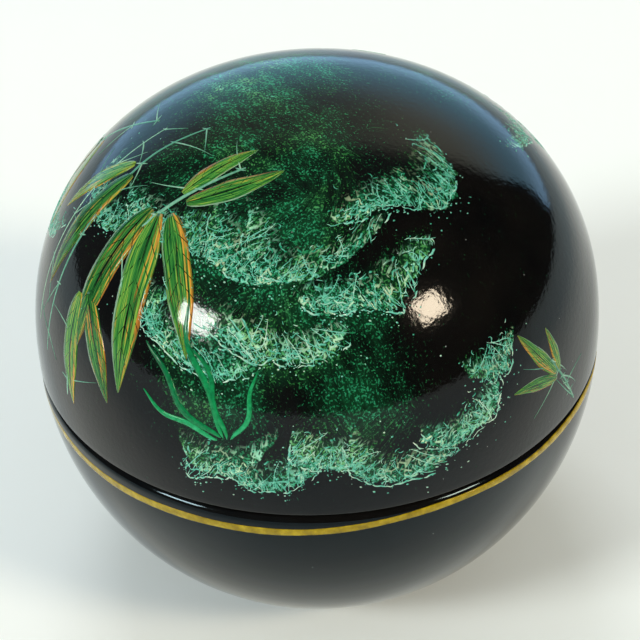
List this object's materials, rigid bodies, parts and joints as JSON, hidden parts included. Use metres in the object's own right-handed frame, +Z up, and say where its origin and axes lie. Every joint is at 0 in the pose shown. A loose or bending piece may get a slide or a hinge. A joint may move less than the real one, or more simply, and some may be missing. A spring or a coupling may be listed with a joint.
{
  "type": "lacquer trinket box",
  "caption": "Ball-shaped lacquered trinket box: a domed lid that lifts off a round bowl, held in place by a collar inside the rim.",
  "frame": {"origin": "middle of the foot, on the surface that the box stands on", "axes": "+Z up along the axis that the box is turned about; +X and +Y are horizontal, and the side towards -Y is the one in the picture"},
  "size_m": [0.1, 0.1, 0.0942],
  "materials": {
    "black_lacquer": "gloss black lacquer over a turned core",
    "red_lacquer": "red lacquer",
    "painted_lacquer": "gloss black lacquer, painted in greens under clear varnish"
  },
  "bodies": {
    "base": {"base_shell": "black_lacquer", "base_collar": "red_lacquer"},
    "lid": {"lid_shell": "painted_lacquer"}
  },
  "joints": [
    {"name": "lid_lift", "type": "slide", "parent": "base", "child": "lid", "axis": [0, 0, 1], "range_m": [0, 0.07]}
  ]
}
